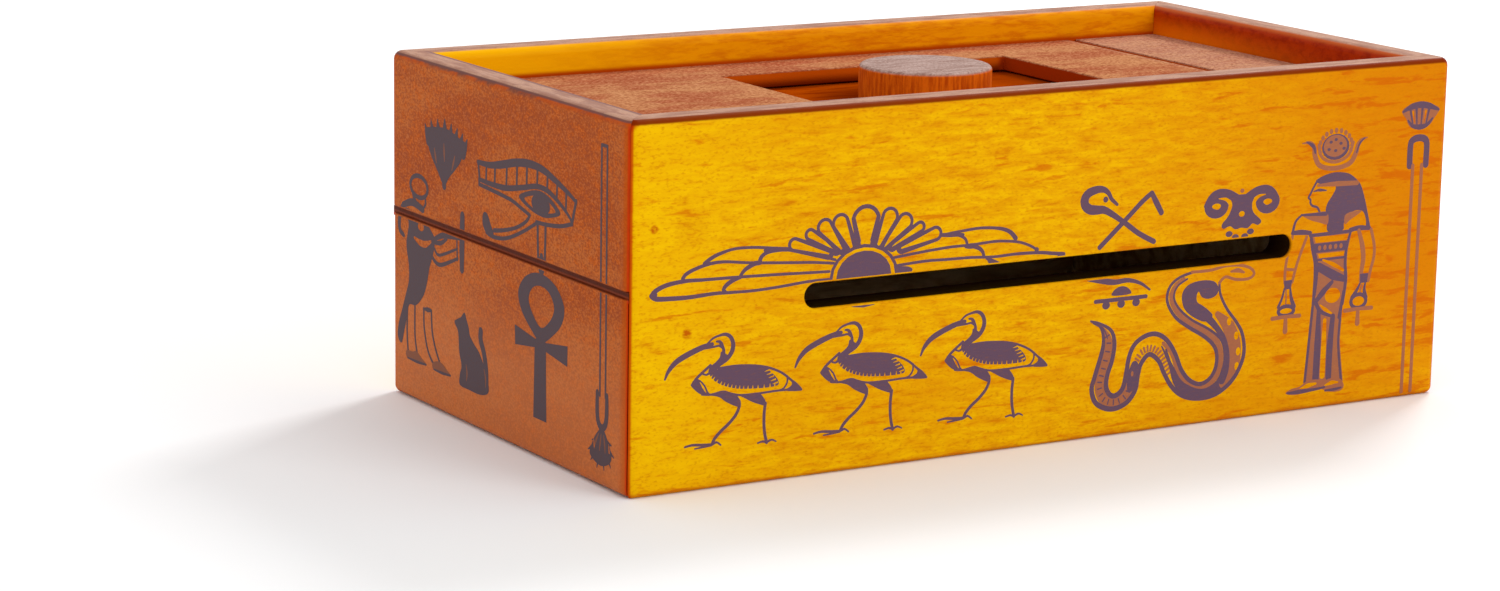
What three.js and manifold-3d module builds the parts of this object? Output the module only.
// A wooden puzzle box for notes and cards: a mitred case with a note slot in its front, a secret drawer
// in the lower half of its left end, and a round knob in a recessed top that works the drawer's lock.
// Millimetres. +X runs along the box, the front is at -Y, +Z is up, and the origin is the centre of the base.
import * as THREE from 'three';
import { mergeVertices } from 'three/addons/utils/BufferGeometryUtils.js';
import Module from 'manifold-3d';

const wasm = await Module();
wasm.setup();

// Driving dimensions: the case
const LENGTH = 180;
const DEPTH = 93;
const HEIGHT = 66;
const BOARD = 7; // thickness of the four walls
const PLY = 3; // thickness of every thin panel
const GLUE_GAP = 0.1; // between pieces that are glued together
const RUN_GAP = 0.3; // between pieces that slide past each other
const GROOVE = 2.5; // depth of the grooves that hold the panels

// Driving dimensions: what is cut into the case
const SLOT = { left: -54.7, right: 52.9, middle: 32.5, height: 4.5 };
const SEAM = { top: 36.3, bottom: 35.1 }; // the gap between the fixed and the moving half of the left end
const BOTTOM_FLOOR = 2; // underside of the bottom panel
const SHELF_FLOOR = 37; // underside of the shelf that separates the drawer from the lock

// Driving dimensions: the recessed deck and the knob
const DECK_RECESS = 6;
const WINDOW = { left: -30, right: 36, half: 26 };
const DECK_SEAM = { left: 61, right: 63 };
const KNOB = { radius: 12.7, top: 64, ease: 0.7 };
const SLIDE_PLATE = { left: -58, right: 59.7, half: 33, thickness: 3.4 };
const RAIL = { inner: 29.5, step: 33.5, height: 9 };

// Driving dimensions: the drawer
const DRAWER_BOARD = 4;
const DRAWER = { right: 65, lowTop: 29, highTop: 36, clearance: 0.5 };
const STOP = { left: -66, right: -60, drop: 3.4 };

// Driving dimensions: the lock, whose pin drops as the knob slides to the right
const PIN = { x: 10, y: 37, radius: 2, bottom: 37.2, top: 49.3 };
const CROSS_PIN = { z: 47.5, radius: 1, near: 25.6, far: 38.4 };
const CAM = { left: 23, right: 17, slope: 0.2, near: 25, far: 29, bottom: 40.6, end: 4 };
const GUIDE = { half: 6, setBack: 1 }; // the block round the pin, set back from the rail's inner face
const PIN_PLAY = 0.3;

// Driving dimensions: metal pieces
const MAGNET = { radius: 2, depth: 2, x: [-70, 50] };
const DISC_DEPTH = 1.2;
const BRAD = { x: -85, z: 47, radius: 0.6, head: 0.85, sunk: 0.3, length: 15 };
const SCREW = { radius: 1.5, head: 3, cone: 1.6, tip: 61.5 };
const METAL_PLAY = 0.15;

// Places that follow from them
const SIDE = { outer: DEPTH / 2, inner: DEPTH / 2 - BOARD };
const END = { outer: LENGTH / 2, inner: LENGTH / 2 - BOARD };
const DECK_TOP = HEIGHT - DECK_RECESS;
const DECK_BOTTOM = DECK_TOP - PLY;
const SHELF_TOP = SHELF_FLOOR + PLY;
const PLATE_TOP = DECK_BOTTOM - RUN_GAP;
const PLATE_BOTTOM = PLATE_TOP - SLIDE_PLATE.thickness;
const LEDGE = PLATE_BOTTOM - RUN_GAP;
const DRAWER_FLOOR = BOTTOM_FLOOR + PLY + RUN_GAP;
const DRAWER_INSIDE = DRAWER_FLOOR + PLY;
const DRAWER_HALF = SIDE.inner - DRAWER.clearance;
const ROUND = 24; // sides of a small round piece

const COLOURS = {
  amber: { color: 0xe2a012, roughness: 0.42 },
  brown: { color: 0xa8572c, roughness: 0.45 },
  deck: { color: 0xb98064, roughness: 0.6 },
  ply: { color: 0xd2b184, roughness: 0.7 },
  hardwood: { color: 0xbd7a38, roughness: 0.5 },
  steel: { color: 0x9a9a9e, roughness: 0.35, metalness: 1 },
};

const box = new THREE.Group();

function add(name, colour, geometry) {
  const mesh = new THREE.Mesh(geometry, new THREE.MeshStandardMaterial(COLOURS[colour]));
  mesh.name = name;
  box.add(mesh);
}

// A block between two corners, each axis given as [low, high].
function block(x, y, z) {
  const size = [x, y, z].map(([low, high]) => high - low);
  const middle = [x, y, z].map(([low, high]) => (low + high) / 2);
  return new THREE.BoxGeometry(...size).translate(...middle);
}

function toSolid(geometry) {
  const bare = geometry.clone();
  bare.deleteAttribute('normal');
  bare.deleteAttribute('uv');
  const merged = mergeVertices(bare);
  const vertProperties = new Float32Array(merged.attributes.position.array);
  const triVerts = new Uint32Array(merged.index.array);
  return new wasm.Manifold(new wasm.Mesh({ numProp: 3, vertProperties, triVerts }));
}

function cut(body, ...tools) {
  const result = tools.reduce((rest, tool) => rest.subtract(toSolid(tool)), toSolid(body));
  const mesh = result.getMesh();
  const geometry = new THREE.BufferGeometry();
  geometry.setAttribute('position', new THREE.BufferAttribute(mesh.vertProperties, 3));
  geometry.setIndex(new THREE.BufferAttribute(mesh.triVerts, 1));
  geometry.computeVertexNormals();
  return geometry;
}

// An outline drawn in plan (x, y), raised from z low to z high.
function raised(outline, [low, high]) {
  const shape = outline instanceof THREE.Shape ? outline : polygon(outline);
  return new THREE.ExtrudeGeometry(shape, { depth: high - low, bevelEnabled: false }).translate(0, 0, low);
}

function polygon(points) {
  return new THREE.Shape(points.map(([x, y]) => new THREE.Vector2(x, y)));
}

// A section drawn in (y, z), run along x.
function runAlongX(section, [low, high]) {
  return raised(section, [0, high - low]).rotateX(Math.PI / 2).rotateZ(Math.PI / 2).translate(low, 0, 0);
}

// An outline drawn in (x, z), cut through in y.
function throughY(shape, [low, high]) {
  return raised(shape, [0, high - low]).rotateX(Math.PI / 2).translate(0, high, 0);
}

function roundBar(radius, [low, high], x, y) {
  return new THREE.CylinderGeometry(radius, radius, high - low, ROUND)
    .rotateX(Math.PI / 2)
    .translate(x, y, (low + high) / 2);
}

// A slot outline with round ends, level, centred on the origin.
function slotOutline(length, height) {
  const radius = height / 2;
  const reach = length / 2 - radius;
  const shape = new THREE.Shape();
  shape.moveTo(-reach, -radius);
  shape.lineTo(reach, -radius);
  shape.absarc(reach, 0, radius, -Math.PI / 2, Math.PI / 2);
  shape.lineTo(-reach, radius);
  shape.absarc(-reach, 0, radius, Math.PI / 2, 1.5 * Math.PI);
  return shape;
}

// The plan of a long wall, mitred at both ends; side is -1 at the front and 1 at the back.
function longWallPlan(side) {
  return [
    [-END.outer, side * SIDE.outer],
    [END.outer, side * SIDE.outer],
    [END.inner, side * SIDE.inner],
    [-END.inner, side * SIDE.inner],
  ];
}

// The plan of a short wall, set back from the long walls' mitres by gap; side is -1 at the left.
function shortWallPlan(side, gap) {
  const outer = SIDE.outer - gap;
  const inner = SIDE.inner - gap;
  return [
    [side * END.outer, -outer],
    [side * END.outer, outer],
    [side * END.inner, inner],
    [side * END.inner, -inner],
  ];
}

// The grooves for the bottom panel and the shelf, along the inner face of a long wall.
function longGrooves(side) {
  const y = [side * (SIDE.inner - GLUE_GAP), side * (SIDE.inner + GROOVE)].sort((a, b) => a - b);
  return [BOTTOM_FLOOR, SHELF_FLOOR].map((z) =>
    block([-LENGTH, END.inner + GROOVE], y, [z - GLUE_GAP, z + PLY + GLUE_GAP]));
}

// A brad driven through the end of a long wall into the fixed half of the left end.
function bradTurned(side, geometry) {
  return geometry.rotateZ(side < 0 ? 0 : Math.PI).translate(BRAD.x, side * SIDE.outer, BRAD.z);
}

function brad(side) {
  const profile = [
    [0, BRAD.sunk],
    [BRAD.head, BRAD.sunk],
    [BRAD.head, 2 * BRAD.sunk],
    [BRAD.radius, 3 * BRAD.sunk],
    [BRAD.radius, BRAD.length - BRAD.head],
    [0, BRAD.length],
  ].map(([radius, depth]) => new THREE.Vector2(radius, depth));
  return bradTurned(side, new THREE.LatheGeometry(profile, ROUND / 2));
}

function bradHole(side) {
  const radius = BRAD.head + METAL_PLAY;
  const hole = new THREE.CylinderGeometry(radius, radius, 2 * (BRAD.length + METAL_PLAY), ROUND / 2);
  return bradTurned(side, hole);
}

function frontWall() {
  const middle = (SLOT.left + SLOT.right) / 2;
  const slot = throughY(slotOutline(SLOT.right - SLOT.left, SLOT.height), [-DEPTH, 0])
    .translate(middle, 0, SLOT.middle);
  return cut(raised(longWallPlan(-1), [0, HEIGHT]), ...longGrooves(-1), bradHole(-1), slot);
}

function backWall() {
  return cut(raised(longWallPlan(1), [0, HEIGHT]), ...longGrooves(1), bradHole(1));
}

function rightEnd() {
  const y = [-SIDE.inner - GROOVE, SIDE.inner + GROOVE];
  const grooves = [BOTTOM_FLOOR, SHELF_FLOOR].map((z) =>
    block([END.inner - GLUE_GAP, END.inner + GROOVE], y, [z - GLUE_GAP, z + PLY + GLUE_GAP]));
  return cut(raised(shortWallPlan(1, GLUE_GAP), [0, HEIGHT]), ...grooves);
}

function leftEndUpper() {
  return cut(raised(shortWallPlan(-1, GLUE_GAP), [SEAM.top, HEIGHT]), bradHole(-1), bradHole(1));
}

// A panel held in the grooves of three walls, open towards the left end.
function groovedPanel(floor) {
  const half = SIDE.inner + GROOVE - GLUE_GAP;
  const x = [-END.inner + RUN_GAP, END.inner + GROOVE - GLUE_GAP];
  return block(x, [-half, half], [floor, floor + PLY]);
}

function shelfPanel() {
  const hole = roundBar(PIN.radius + PIN_PLAY, [0, HEIGHT], PIN.x, PIN.y);
  return cut(groovedPanel(SHELF_FLOOR), hole);
}

// A stepped rail along a long wall: its ledge carries the sliding plate and its top carries the deck.
function deckRail(side) {
  const outer = SIDE.inner - GLUE_GAP;
  const section = [
    [side * outer, DECK_BOTTOM - RAIL.height],
    [side * outer, DECK_BOTTOM - GLUE_GAP],
    [side * RAIL.step, DECK_BOTTOM - GLUE_GAP],
    [side * RAIL.step, LEDGE],
    [side * RAIL.inner, LEDGE],
    [side * RAIL.inner, DECK_BOTTOM - RAIL.height],
  ];
  const rail = runAlongX(section, [-END.inner + GLUE_GAP, END.inner - GLUE_GAP]);
  const magnetHoles = MAGNET.x.map((x) =>
    roundBar(MAGNET.radius + METAL_PLAY, [magnetFloor() - METAL_PLAY, HEIGHT], x, side * magnetLine()));
  return cut(rail, ...magnetHoles);
}

function magnetLine() {
  return (RAIL.step + SIDE.inner) / 2;
}

function magnetFloor() {
  return DECK_BOTTOM - GLUE_GAP - MAGNET.depth;
}

// The back rail is cut away under its top where the lock's guide block stands.
function backRail() {
  const half = GUIDE.half + RUN_GAP;
  const relief = block([PIN.x - half, PIN.x + half], [RAIL.inner - PLY, SIDE.outer], [0, LEDGE]);
  return cut(deckRail(1), relief);
}

// The block that holds the lock pin upright, slit towards the cam for the cross pin.
function pinGuideBlock() {
  const bore = roundBar(PIN.radius + PIN_PLAY, [0, HEIGHT], PIN.x, PIN.y);
  const slit = block(
    [PIN.x - CROSS_PIN.radius - PIN_PLAY, PIN.x + CROSS_PIN.radius + PIN_PLAY],
    [0, PIN.y],
    [CROSS_PIN.z - CAM.left * CAM.slope - 2 * CROSS_PIN.radius, HEIGHT],
  );
  const x = [PIN.x - GUIDE.half, PIN.x + GUIDE.half];
  const y = [RAIL.inner + GUIDE.setBack, SIDE.inner - GLUE_GAP];
  const z = [SHELF_TOP + GLUE_GAP, LEDGE - GLUE_GAP];
  return cut(block(x, y, z), bore, slit);
}

function lockPin() {
  const ease = PIN.radius / 4;
  const profile = [
    [0, PIN.bottom],
    [PIN.radius - ease, PIN.bottom],
    [PIN.radius, PIN.bottom + ease],
    [PIN.radius, PIN.top],
    [0, PIN.top],
  ].map(([radius, z]) => new THREE.Vector2(radius, z));
  const pin = new THREE.LatheGeometry(profile, ROUND).rotateX(Math.PI / 2).translate(PIN.x, PIN.y, 0);
  return cut(pin, crossBar(CROSS_PIN.radius + METAL_PLAY, [CROSS_PIN.near, SIDE.inner]));
}

function crossBar(radius, [near, far]) {
  return new THREE.CylinderGeometry(radius, radius, far - near, ROUND)
    .translate(PIN.x, (near + far) / 2, CROSS_PIN.z);
}

// The rib under the sliding plate; its sloping slot lifts and lowers the cross pin.
function camRib() {
  const left = PIN.x - CAM.left;
  const right = PIN.x + CAM.right;
  const middle = (left + right) / 2;
  const height = 2 * (CROSS_PIN.radius + PIN_PLAY);
  const length = Math.hypot(right - left, (right - left) * CAM.slope) + height;
  const slot = throughY(slotOutline(length, height), [0, CAM.far + CAM.end])
    .rotateY(-Math.atan(CAM.slope))
    .translate(middle, 0, CROSS_PIN.z + (middle - PIN.x) * CAM.slope);
  const x = [left - CAM.end, right + CAM.end];
  return cut(block(x, [CAM.near, CAM.far], [CAM.bottom, PLATE_BOTTOM - GLUE_GAP]), slot);
}

// Half the outline of the knob's screw above its foot, grown by play for its hole.
function screwProfile(play) {
  return [
    [SCREW.radius + play, PLATE_BOTTOM + SCREW.cone + play],
    [SCREW.radius + play, SCREW.tip - SCREW.radius + play],
    [0, SCREW.tip + play],
  ];
}

function turnedUpright(profile, sides) {
  const points = profile.map(([radius, z]) => new THREE.Vector2(radius, z));
  return new THREE.LatheGeometry(points, sides).rotateX(Math.PI / 2);
}

function knobScrew() {
  const head = [[0, PLATE_BOTTOM], [SCREW.head, PLATE_BOTTOM]];
  return turnedUpright([...head, ...screwProfile(0)], ROUND).translate(0, 0, METAL_PLAY);
}

function screwHole() {
  const play = 2 * METAL_PLAY;
  const foot = PLATE_BOTTOM - play;
  const mouth = [[0, foot], [SCREW.head + play, foot], [SCREW.head + play, foot + 2 * play]];
  return turnedUpright([...mouth, ...screwProfile(play)], ROUND);
}

function slidePlate() {
  const half = SLIDE_PLATE.half;
  const x = [SLIDE_PLATE.left, SLIDE_PLATE.right];
  return cut(block(x, [-half, half], [PLATE_BOTTOM, PLATE_TOP]), screwHole());
}

function knob() {
  const foot = PLATE_TOP + GLUE_GAP;
  const body = turnedUpright([
    [0, foot],
    [KNOB.radius, foot],
    [KNOB.radius, KNOB.top - KNOB.ease],
    [KNOB.radius - KNOB.ease, KNOB.top],
    [0, KNOB.top],
  ], 2 * ROUND);
  return cut(body, screwHole());
}

function rectangle(path, [left, right], [near, far]) {
  path.moveTo(left, near);
  path.lineTo(right, near);
  path.lineTo(right, far);
  path.lineTo(left, far);
  path.closePath();
  return path;
}

// The lift-off deck, with the window that the knob slides in and steel discs let into its underside.
function deckPanel() {
  const half = SIDE.inner - RUN_GAP;
  const outline = rectangle(new THREE.Shape(), [-END.inner + RUN_GAP, DECK_SEAM.left], [-half, half]);
  const window = rectangle(new THREE.Path(), [WINDOW.left, WINDOW.right], [-WINDOW.half, WINDOW.half]);
  outline.holes.push(window);
  const discHoles = metalPlaces().map(([x, y]) =>
    roundBar(MAGNET.radius + METAL_PLAY, [0, DECK_BOTTOM + DISC_DEPTH + METAL_PLAY], x, y));
  return cut(raised(outline, [DECK_BOTTOM, DECK_TOP]), ...discHoles);
}

function deckStrip() {
  const half = SIDE.inner - GLUE_GAP;
  return block([DECK_SEAM.right, END.inner - GLUE_GAP], [-half, half], [DECK_BOTTOM, DECK_TOP]);
}

// Where the magnets and the discs over them are.
function metalPlaces() {
  return [-1, 1].flatMap((side) => MAGNET.x.map((x) => [x, side * magnetLine()]));
}

function drawerFront() {
  return raised(shortWallPlan(-1, RUN_GAP), [RUN_GAP, SEAM.bottom]);
}

function drawerSide(side, top) {
  const y = [side * (DRAWER_HALF - DRAWER_BOARD), side * DRAWER_HALF].sort((a, b) => a - b);
  return block([-END.inner + GLUE_GAP, DRAWER.right], y, [DRAWER_INSIDE + GLUE_GAP, top]);
}

// The back side stands higher, with the notch that the lock pin drops into.
function drawerSideBack() {
  const half = PIN.radius + 2 * PIN_PLAY;
  const depth = CAM.left * CAM.slope;
  const notch = block([PIN.x - half, PIN.x + half], [0, DEPTH], [DRAWER.highTop - depth, HEIGHT]);
  return cut(drawerSide(1, DRAWER.highTop), notch);
}

function drawerBack() {
  const half = DRAWER_HALF - DRAWER_BOARD - GLUE_GAP;
  const x = [DRAWER.right - DRAWER_BOARD, DRAWER.right];
  return block(x, [-half, half], [DRAWER_INSIDE + GLUE_GAP, DRAWER.highTop]);
}

function drawerFloor() {
  const x = [-END.inner + GLUE_GAP, DRAWER.right];
  return block(x, [-DRAWER_HALF, DRAWER_HALF], [DRAWER_FLOOR, DRAWER_INSIDE]);
}

// The batten under the shelf that the drawer's back meets when the drawer is fully open.
function drawerStop() {
  const y = [-SIDE.inner + GLUE_GAP, DRAWER_HALF - DRAWER_BOARD - DRAWER.clearance];
  return block([STOP.left, STOP.right], y, [SHELF_FLOOR - STOP.drop, SHELF_FLOOR - GLUE_GAP]);
}

// The case
add('front_wall', 'amber', frontWall());
add('back_wall', 'amber', backWall());
add('right_end', 'brown', rightEnd());
add('left_end_upper', 'brown', leftEndUpper());
add('bottom_panel', 'ply', groovedPanel(BOTTOM_FLOOR));
add('shelf_panel', 'ply', shelfPanel());
add('deck_rail_front', 'hardwood', deckRail(-1));
add('deck_rail_back', 'hardwood', backRail());
add('deck_strip', 'deck', deckStrip());
add('drawer_stop', 'hardwood', drawerStop());
add('pin_guide_block', 'hardwood', pinGuideBlock());
add('brad_front', 'steel', brad(-1));
add('brad_back', 'steel', brad(1));

// The deck and the magnets that hold it down
add('deck_panel', 'deck', deckPanel());
metalPlaces().forEach(([x, y], index) => {
  const magnet = roundBar(MAGNET.radius, [magnetFloor(), DECK_BOTTOM - GLUE_GAP], x, y);
  add(`magnet_${index + 1}`, 'steel', magnet);
  const disc = roundBar(MAGNET.radius, [DECK_BOTTOM, DECK_BOTTOM + DISC_DEPTH], x, y);
  add(`deck_disc_${index + 1}`, 'steel', disc);
});

// The knob and its slide
add('knob', 'hardwood', knob());
add('slide_plate', 'brown', slidePlate());
add('cam_rib', 'hardwood', camRib());
add('knob_screw', 'steel', knobScrew());

// The lock pin
add('lock_pin', 'hardwood', lockPin());
add('cross_pin', 'steel', crossBar(CROSS_PIN.radius, [CROSS_PIN.near, CROSS_PIN.far]));

// The drawer
add('drawer_front', 'brown', drawerFront());
add('drawer_side_front', 'ply', drawerSide(-1, DRAWER.lowTop));
add('drawer_side_back', 'ply', drawerSideBack());
add('drawer_back', 'ply', drawerBack());
add('drawer_floor', 'ply', drawerFloor());

export default box;
